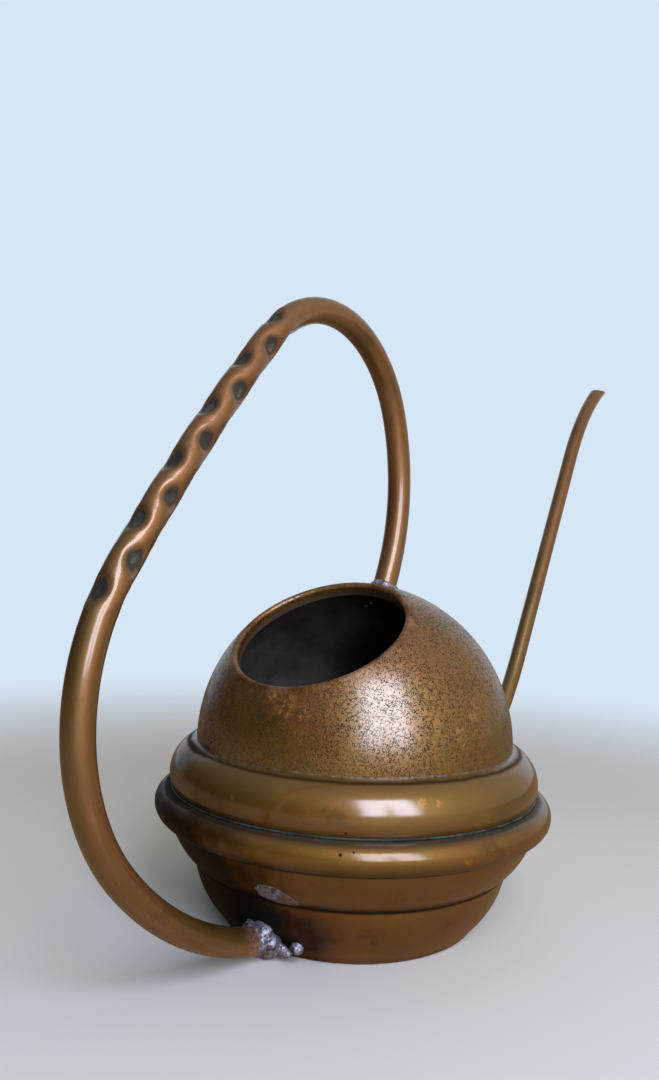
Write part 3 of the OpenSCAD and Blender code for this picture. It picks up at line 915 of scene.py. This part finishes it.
def pinch(g, run, turn, given):
    """How deep the nearest pinch goes at a point of the skin, and how far the ridge beside it swells."""
    steps = (run - given["First"]) / given["Step"]
    nearest = steps.call("ROUND").at_least(0).at_most(given["Count"] - 1)
    along = (steps - nearest) * given["Step"]
    odd = nearest % 2
    facing = abs(turn.call("COSINE")) * (1 - odd) + abs(turn.call("SINE")) * odd
    around = facing.at_most(1.0).call("ARCCOSINE") * given["Radius"]
    uneven = g.add("ShaderNodeTexNoise", {"noise_dimensions": "1D"},
                   {"W": nearest * 3.7 + turn * 0.3, "Scale": 1.0})
    size = 0.85 + uneven * 0.3
    hollow = ((along / PINCH_LONG) ** 2 + (around / PINCH_WIDE) ** 2).call("SQRT") / size
    dent = (1 - hollow ** 2).at_least(0.0) ** 1.4
    swell = (1 - facing) * (1 - (along / RIDGE_LONG) ** 2).at_least(0.0)
    return dent, swell


print(PINCHES["Count"], "pinches,", round(PINCHES["Step"] / MM, 1), "mm apart")


# %% A tree that makes a tube, pinched or plain
def tube_tree():
    """A tree that lays a sheet of quads along a line: out along the skin and back along the bore."""
    tree, g, given = new_tree("bend a tube", [
        ("Sides", "Int"), ("Stations", "Int"), ("Radius", "Float"), ("Wall", "Float"), ("Finish", "Material"),
        ("First", "Float"), ("Step", "Float"), ("Count", "Int"), ("Depth", "Float")])
    rows = given["Stations"] * 2 + 1
    grid = g.add("GeometryNodeMeshGrid", None, {"Vertices X": given["Sides"] + 1, "Vertices Y": rows})
    index = g.add("GeometryNodeInputIndex")
    column = (index / rows).call("FLOOR")
    row = (index - column * rows) % (given["Stations"] * 2)
    turn = column / given["Sides"] * (2 * math.pi)
    in_bore = row.above(given["Stations"] - 0.5)
    back = given["Stations"] * 2 - 1 - row
    station = row + in_bore * (back - row)
    curve = g.add("GeometryNodeMeshToCurve", None, {"Mesh": given["Geometry"]})
    length = g.add("GeometryNodeCurveLength", None, {"Curve": curve})
    run = station / (given["Stations"] - 1) * length
    middle, way = (g.add("GeometryNodeSampleCurve", {"mode": "LENGTH", "use_all_curves": True},
                         {"Curves": curve, "Length": run}, out=k) for k in (1, 2))
    radial = g.vector("CROSS_PRODUCT", (0.0, 1.0, 0.0), g.vector("NORMALIZE", way))
    dent, swell = pinch(g, run, turn, given)
    pinched = (given["Count"] * 1.0).at_most(1.0)
    moved_in = (dent * given["Depth"] - swell * (0.25 * given["Depth"])) * pinched * (1 - in_bore * 0.4)
    radius = given["Radius"] - given["Wall"] * in_bore - moved_in
    spoke = g.vector("ADD", g.scale(radial, turn.call("COSINE") * radius),
                     g.combine(0.0, turn.call("SINE") * radius, 0.0))
    moved = g.add("GeometryNodeSetPosition", None, {"Geometry": grid, "Position": g.vector("ADD", middle, spoke)})
    for name, value in (("run", run), ("turn", turn), ("dent", dent * pinched), ("bore", in_bore)):
        moved = g.add("GeometryNodeStoreNamedAttribute", {"data_type": "FLOAT", "domain": "POINT"},
                      {"Geometry": moved, "Name": name, "Value": value})
    end_tree(g, moved, given["Finish"])
    return tree


bend_tube = tube_tree()
print("tree", bend_tube.name, len(bend_tube.nodes), "nodes")


# %% Handle and spout
def make_tube(name, rows, side, radius, sides, station, pinches):
    """Run the tube's tree along a middle line."""
    points = middle_line(rows, side)
    source = bpy.data.meshes.new(name + "_line")
    source.from_pydata([tuple(p) for p in points], [(k, k + 1) for k in range(len(points) - 1)], [])
    length = float(np.linalg.norm(np.diff(points, axis=0), axis=1).sum())
    settings = {"Sides": sides, "Stations": round(length / station), "Radius": radius, "Wall": TUBE_WALL,
                "Finish": tube_copper, **pinches}
    mesh = grow(name, source, bend_tube, settings)
    print(name, "is", round(length / MM, 1), "mm long")
    return mesh, length


handle_mesh, handle_length = make_tube("handle_copper_tube", handle_rows, -1, HANDLE_R, 48, 1.3 * MM, PINCHES)
spout_mesh, spout_length = make_tube("spout_copper_tube", spout_rows, 1, SPOUT_R, 40, 2.0 * MM, NO_PINCHES)

# %% [markdown]
# ## Fitting the tubes' ends
# A real tube's end is filed to the surface that it is soldered to. The points near an end slide along
# the tube, most at the very end and less further in, until the end lies just inside the copper sheet.
# The spout's tip is different: it was sawn off level.

# %% Ends that fit the body, and a level tip
EASE, TIP_SHORT = 22 * MM, 0.02 * MM


def slide_end(mesh, length, at_start, way, target):
    """Slide the points near one end along a way, by a target distance for each point of the end ring."""
    points = coordinates(mesh)
    run, turn, bore = (numbers(mesh, name) for name in ("run", "turn", "bore"))
    beyond = run if at_start else length - run
    ring_place = [(round(float(t), 3), round(float(b))) for t, b in zip(turn, bore)]
    end_ring = {ring_place[i]: points[i].copy() for i in np.nonzero(beyond < 0.01 * MM)[0]}
    for i in np.nonzero(beyond < EASE)[0]:
        points[i] += way * target(end_ring[ring_place[i]], way) * (1 - beyond[i] / EASE)
    set_coordinates(mesh, points)


def to_body(point, way):
    """Distance along a nearly level way from a point to just inside the body's side."""
    low, high = -20 * MM, 40 * MM
    for _ in range(30):
        middle = (low + high) / 2
        there = point + way * middle
        if math.hypot(there[0], there[1]) > body_reach(there[2]) - SUNK:
            low = middle
        else:
            high = middle
    return middle


def to_ball(point, way):
    """Distance along a way from a point to just inside the ball."""
    return distance_to_ball(point, way, BALL_R - SUNK)


def to_tip(point, way):
    """Distance along a way from a point to the level of the tip."""
    return (TIP_Z - TIP_SHORT - point[2]) / way[2]


print("ends ease over", round(EASE / MM, 1), "mm")


# %% The tubes, fitted
tip_heading = spout_rows[-1][2]
slide_end(handle_mesh, handle_length, True, np.array([1.0, 0, 0]), to_body)
slide_end(handle_mesh, handle_length, False, handle_end_way, to_ball)
root_way = -np.array([math.cos(math.radians(SPOUT_ANGLE)), 0, math.sin(math.radians(SPOUT_ANGLE))])
slide_end(spout_mesh, spout_length, True, root_way, to_body)
slide_end(spout_mesh, spout_length, False, np.array([math.cos(tip_heading), 0, math.sin(tip_heading)]), to_tip)
for mesh in (handle_mesh, spout_mesh):
    settle(mesh)
handle = place_mesh("handle_copper_tube", handle_mesh)
finish_piece(handle, "handle_tube", "copper_tube")
spout = place_mesh("spout_copper_tube", spout_mesh)
finish_piece(spout, "spout_tube", "copper_tube")

# %% [markdown]
# ## Solder
# Solder runs into a gap, wets both sides and sets in soft lumps. Balls and a ring are joined and remeshed
# into one skin, and noise makes it uneven. Then every point that ended inside the copper sheet or the
# tube is moved out to just below its surface, so the lump sits on the copper and doesn't go through it.

# %% Solder that stays out of the copper
def out_of_body(point):
    """Move a point that is inside the body out to just below its surface."""
    if point[2] > BALL_Z:
        away = point - ball_centre
        distance = np.linalg.norm(away)
        if distance < BALL_R - SUNK:
            return ball_centre + away * (BALL_R - SUNK) / distance
        return point
    reach, distance = body_reach(point[2]) - SUNK, math.hypot(point[0], point[1])
    if distance < reach:
        return np.array([point[0] * reach / distance, point[1] * reach / distance, point[2]])
    return point


def out_of_tube(point, line_points, radius):
    """Move a point that is inside a tube out to just below its skin."""
    away = line_points - point
    nearest = line_points[int(np.argmin((away ** 2).sum(axis=1)))]
    step = point - nearest
    distance = np.linalg.norm(step)
    if 1e-9 < distance < radius - SUNK:
        return nearest + step * (radius - SUNK) / distance
    return point


print("solder starts", round(SUNK / MM, 2), "mm below the copper's surface")


# %% A lump of solder
VOXEL, RING_BALLS, FLOOR_GAP = 0.35 * MM, 40, 0.5 * MM


def add_ball(work, centre, size, subdivisions):
    """Add a ball to the lump's rough shape."""
    bmesh.ops.create_icosphere(work, subdivisions=subdivisions, radius=size,
                               matrix=Matrix.Translation(Vector(centre)))


def melted(name, work):
    """The balls as one skin, remeshed and softened."""
    mesh = bpy.data.meshes.new(name)
    work.to_mesh(mesh)
    work.free()
    holder = place_mesh(name + "_rough", mesh)
    remesh = holder.modifiers.new("skin", "REMESH")
    remesh.mode, remesh.voxel_size = "VOXEL", VOXEL
    holder.modifiers.new("soften", "SMOOTH").iterations = 4
    ready = holder.evaluated_get(bpy.context.evaluated_depsgraph_get())
    mesh = bpy.data.meshes.new_from_object(ready)
    bpy.data.objects.remove(holder)
    return mesh


def lump(name, balls, ring, line_points, radius, seed, rough):
    """Balls and a ring of solder round a tube, as one uneven skin."""
    work = bmesh.new()
    for centre, size in balls:
        add_ball(work, centre, size, 4)
    centre, way, reach, thick = ring
    turned = Vector((0, 0, 1)).rotation_difference(Vector(way)).to_matrix()
    for k in range(RING_BALLS):
        angle = 2 * math.pi * k / RING_BALLS
        uneven = thick * (1 + 0.22 * math.sin(3 * angle + seed) + 0.12 * math.sin(7 * angle))
        spoke = turned @ Vector((math.cos(angle), math.sin(angle), 0))
        add_ball(work, Vector(centre) + spoke * reach, uneven, 2)
    mesh = melted(name, work)
    points = coordinates(mesh)
    normals = np.array([v.normal[:] for v in mesh.vertices])
    for i, point in enumerate(points):
        swell = noise.noise(Vector(point) / (2.6 * MM) + Vector((seed, 0, 0)))
        swell += 0.5 * noise.noise(Vector(point) / (1.1 * MM) + Vector((0, seed, 0)))
        point = point + normals[i] * swell * rough
        point = out_of_tube(out_of_body(point), line_points, radius)
        point[2] = max(point[2], FLOOR_GAP)
        points[i] = point
    set_coordinates(mesh, points)
    settle(mesh)
    mesh.materials.clear()
    mesh.materials.append(solder)
    mesh.name = name
    return place_mesh(name, mesh)


print("solder is remeshed at", round(VOXEL / MM, 2), "mm")


# %% The foot's lumps, and a collar at each of the other two joints
def in_mm(*lengths):
    """Lengths in millimetres, as the frame's metres."""
    return tuple(length * MM for length in lengths)


handle_line, spout_line = middle_line(handle_rows, -1), middle_line(spout_rows, 1)
FOOT_BALLS = [((-71.0, -2.5, 12.5), 5.0), ((-72.5, -2.0, 9.5), 5.2), ((-69.5, -6.0, 8.5), 4.4),
              ((-71.0, 3.5, 12.0), 4.2), ((-74.5, -3.5, 8.5), 4.0), ((-68.0, -5.0, 5.0), 3.8),
              ((-67.3, -10.2, 6.0), 2.2), ((-66.4, -12.6, 4.6), 1.9), ((-65.2, -16.5, 7.6), 3.0)]
foot_lump = lump("foot_solder", [(in_mm(*centre), size * MM) for centre, size in FOOT_BALLS],
                 (in_mm(-68.5, 0, 7.5), (-1, 0, 0.12), HANDLE_R, 2.0 * MM),
                 handle_line, HANDLE_R, 1.3, 0.45 * MM)
finish_piece(foot_lump, "handle_foot_solder", "solder")
top_centre = handle_line[-1] - handle_end_way * 0.4 * MM
top_lump = lump("top_solder", [], (tuple(top_centre), tuple(handle_end_way), HANDLE_R + 0.1 * MM, 1.9 * MM),
                handle_line, HANDLE_R, 2.1, 0.2 * MM)
finish_piece(top_lump, "handle_top_solder", "solder")
root_centre = next(point for point in spout_line if out_of_body(point) is point)
root_lump = lump("root_solder", [], (tuple(root_centre), tuple(-root_way), SPOUT_R + 0.1 * MM, 2.1 * MM),
                 spout_line, SPOUT_R, 3.7, 0.35 * MM)
finish_piece(root_lump, "spout_root_solder", "solder")

# %% [markdown]
# ## The seam's solder and the scar
# The ring of solder in the seam hardly stands out of the crease, so it is a thin uneven ring. The scar is
# where a blob once sat: a flat oval that narrows to a tail, uneven on top and sunk at its edge.

# %% Ring of solder in the seam
def seam_ring():
    """A thin ring in the crease, from its section as (out, up) in millimetres."""
    section = [(-0.9, 0.25), (0.15, 0.05), (0.75, 0.35), (0.85, 0.75), (0.35, 1.15), (-0.5, 1.1)]
    points = []
    for k in range(2 * ROUND):
        angle = math.pi * k / ROUND
        for out, rise in section:
            uneven = 1 + 0.35 * noise.noise(Vector((30 * math.cos(angle), 30 * math.sin(angle), out)))
            points.append(round_axis(angle, SEAM[0] + out * uneven * MM, SEAM[1] + rise * MM))
    mesh = mesh_from("seam_solder_ring", points, wrapped_grid(2 * ROUND, len(section)))
    mesh.materials.append(seam_green)
    settle(mesh)
    return place_mesh("seam_solder_ring", mesh)


finish_piece(seam_ring(), "seam_solder", "solder")

# %% Scar above the handle's foot
SCAR_TURN, SCAR_Z, SCAR_TILT = math.radians(190.9), 32.7 * MM, math.radians(13)
SCAR_LONG, SCAR_WIDE, SCAR_THICK = 10.2 * MM, 4.9 * MM, 0.9 * MM


def scar():
    """A low pad on the body: rings of points from the middle to the edge, over a back that lies in the sheet."""
    rings, sides = 16, 56
    top, back = [], []
    for j in range(1, rings + 1):
        share = j / rings
        for k in range(sides):
            angle = 2 * math.pi * k / sides
            edge = share * (1 + 0.16 * noise.noise(Vector((2.2 * math.cos(angle), 2.2 * math.sin(angle), 5.0))))
            taper = 1 - 0.45 * max(math.cos(angle), 0.0)
            along = SCAR_LONG * edge * math.cos(angle)
            across = SCAR_WIDE * edge * math.sin(angle) * taper
            around = along * math.cos(SCAR_TILT) + across * math.sin(SCAR_TILT)
            height = SCAR_Z + across * math.cos(SCAR_TILT) - along * math.sin(SCAR_TILT)
            reach = body_reach(height)
            turn = SCAR_TURN + around / reach
            bumps = noise.noise(Vector((along, across, 0)) / (1.5 * MM))
            thick = SCAR_THICK * (1 - share ** 4) * (0.60 + 0.40 * bumps) - 0.1 * MM * share ** 4
            for rows, out in ((top, thick), (back, -SUNK)):
                rows.append(round_axis(turn, reach + out, height))
    points, faces = top + back, []
    for rows, first in ((0, len(points)), (len(top), len(points) + 1)):
        faces += [(first, rows + k, rows + (k + 1) % sides) for k in range(sides)]
        for j in range(rings - 1):
            a, b = rows + j * sides, rows + (j + 1) * sides
            faces += [(a + k, b + k, b + (k + 1) % sides, a + (k + 1) % sides) for k in range(sides)]
    for out in (0.7 * SCAR_THICK, -SUNK):
        points.append(round_axis(SCAR_TURN, body_reach(SCAR_Z) + out, SCAR_Z))
    edge_top, edge_back = (rings - 1) * sides, len(top) + (rings - 1) * sides
    faces += [(edge_top + k, edge_back + k, edge_back + (k + 1) % sides, edge_top + (k + 1) % sides)
              for k in range(sides)]
    mesh = mesh_from("solder_scar_pad", points, faces)
    mesh.materials.append(solder)
    settle(mesh)
    return place_mesh("solder_scar_pad", mesh)


finish_piece(scar(), "solder_scar", "solder")

# %% [markdown]
# ## Floor, room and window
# Copper shows the room that it stands in. Here that is a pale room, dark on the left and warm on the
# right, and a tall window with a bar in its middle, behind the camera's right shoulder. The floor is pale
# to the camera and tan to the copper, as a wooden table would be. Is Camera Ray keeps the two apart, so
# the pale background puts no more light on the can.

# %% Floor
PAPER, PALE_FLOOR, TAN_FLOOR = (0.68, 0.79, 0.91), (0.80, 0.83, 0.80), (0.44, 0.315, 0.18)
FLOOR_R, FADE_START, FADE_END = 3.0, 0.28, 0.80


def floor_finish():
    """A plain floor that fades into the background further out."""
    material, g, inputs, place = new_finish("pale_floor")
    x, y, _ = axes_of(g, place)
    sight = g.add("ShaderNodeLightPath", out="Is Camera Ray")
    g.feed(inputs["Base Color"], g.mix(sight, TAN_FLOOR, PALE_FLOOR))
    inputs["Roughness"].default_value = 0.9
    away = (x ** 2 + y ** 2).call("SQRT").rise(FADE_START, FADE_END)
    glow = g.add("ShaderNodeEmission", None, {"Color": (*PAPER, 1.0)})
    solid = Wire(g, inputs["Base Color"].node.outputs[0])
    output = next(node for node in g.tree.nodes if node.type == "OUTPUT_MATERIAL")
    g.feed(output.inputs["Surface"], g.add("ShaderNodeMixShader", None, {0: away * sight, 1: solid, 2: glow}))
    return material


floor_mesh = bpy.data.meshes.new("floor")
work = bmesh.new()
bmesh.ops.create_circle(work, cap_ends=True, segments=96, radius=FLOOR_R)
work.to_mesh(floor_mesh)
work.free()
floor_mesh.materials.append(floor_finish())
place_mesh("floor", floor_mesh)
print("floor", FLOOR_R, "m in radius")

# %% Room
LEFT_WALL, RIGHT_WALL = (0.024, 0.024, 0.028), (0.54, 0.43, 0.29)
CEILING, FAR_WALL = (0.56, 0.52, 0.47), (0.60, 0.68, 0.77)

world = bpy.data.worlds.new("room")
bpy.context.scene.world = world
world.use_nodes = True
room = Graph(world.node_tree)
room.tree.nodes.clear()
direction = room.add("ShaderNodeTexCoord", out="Generated")


def towards(way):
    """How far a direction in the room points along a way, from -1 to 1."""
    return room.dot(direction, way)


rightwards = towards(round_axis(CAMERA_AZIMUTH + math.pi / 2, 1.0, 0.0))
behind_can = towards(round_axis(CAMERA_AZIMUTH, -1.0, 0.0))
upwards = towards((0.0, 0.0, 1.0))
walls = room.layered(room.mix(rightwards.rise(-0.5, 0.9), LEFT_WALL, RIGHT_WALL),
                     [(upwards.rise(0.2, 1.0) * 0.45, CEILING), (behind_can.rise(0.52, 0.90), FAR_WALL)])
sky = room.mix(room.add("ShaderNodeLightPath", out="Is Camera Ray"), walls, PAPER)
world_output = room.tree.nodes.new("ShaderNodeOutputWorld")
room.feed(world_output.inputs["Surface"], room.add("ShaderNodeBackground", None, {"Color": sky, "Strength": 1.0}))
print("room", world.name, len(room.tree.nodes), "nodes")

# %% Window of two panes, as (name, azimuth in degrees)
PANES = [("window_left_pane", 225), ("window_right_pane", 243)]
PANE_WIDE, PANE_HIGH, PANE_POWER, DAYLIGHT = 0.24, 0.80, 5.3, (0.75, 0.79, 1.0)
PANE_AWAY, PANE_RISE, CAN_MIDDLE = 1.0, math.radians(28), Vector((0, 0, 0.09))


def window_pane(name, azimuth):
    """An area light that looks at the middle of the can."""
    data = bpy.data.lights.new(name, "AREA")
    data.shape, data.size, data.size_y = "RECTANGLE", PANE_WIDE, PANE_HIGH
    data.energy, data.color = PANE_POWER, DAYLIGHT
    away = Vector(round_axis(math.radians(azimuth), math.cos(PANE_RISE), math.sin(PANE_RISE))) * PANE_AWAY
    turned = (-away).to_track_quat("-Z", "Y").to_matrix().to_4x4()
    lamp = bpy.data.objects.new(name, data)
    lamp.matrix_world = Matrix.Translation(away + CAN_MIDDLE) @ turned
    bpy.context.scene.collection.objects.link(lamp)
    print(name, PANE_POWER, "W")


for pane_name, pane_azimuth in PANES:
    window_pane(pane_name, pane_azimuth)

# %% Last settings
bpy.context.scene.view_settings.view_transform = "Standard"
